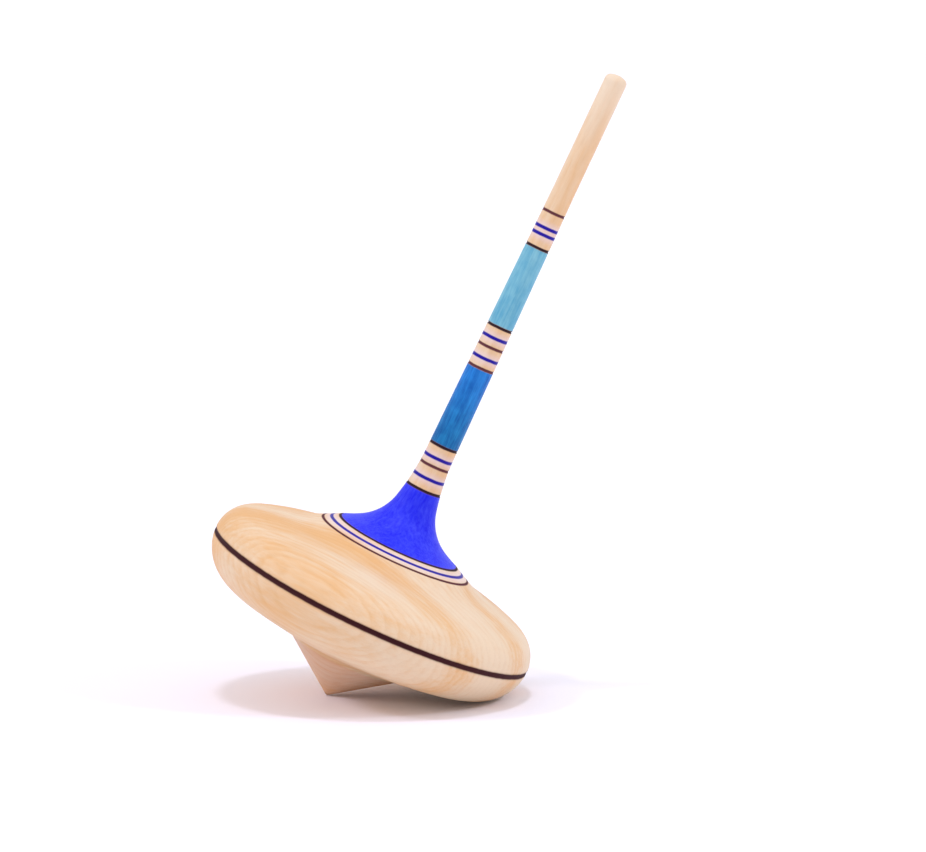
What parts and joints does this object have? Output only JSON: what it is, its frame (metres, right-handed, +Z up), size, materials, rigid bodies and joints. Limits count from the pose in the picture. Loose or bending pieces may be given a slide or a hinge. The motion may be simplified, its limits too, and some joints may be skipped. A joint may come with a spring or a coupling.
{
  "type": "spinning top",
  "caption": "Turned wooden spinning top: a round-edged disc on a cone-shaped point, with a long slim stem that is spun between the palms.",
  "frame": {"origin": "the tip of the point, where it touches the table", "axes": "+Z up from the table, +X towards the side that the stem leans to. The top lies at rest on its tip and the edge of its disc, so its spin axis leans 25.14 degrees from +Z towards +X; a turn of -25.14 degrees about Y through the origin stands it upright."},
  "size_m": [0.0903, 0.0752, 0.1362],
  "materials": {
    "maple": "fine-sanded and waxed, satin",
    "stained_maple": "wood stained blue in bands between burnt and inked lines, satin"
  },
  "bodies": {
    "root": {"spindle": "stained_maple", "disc": "maple", "point": "maple"}
  },
  "joints": []
}
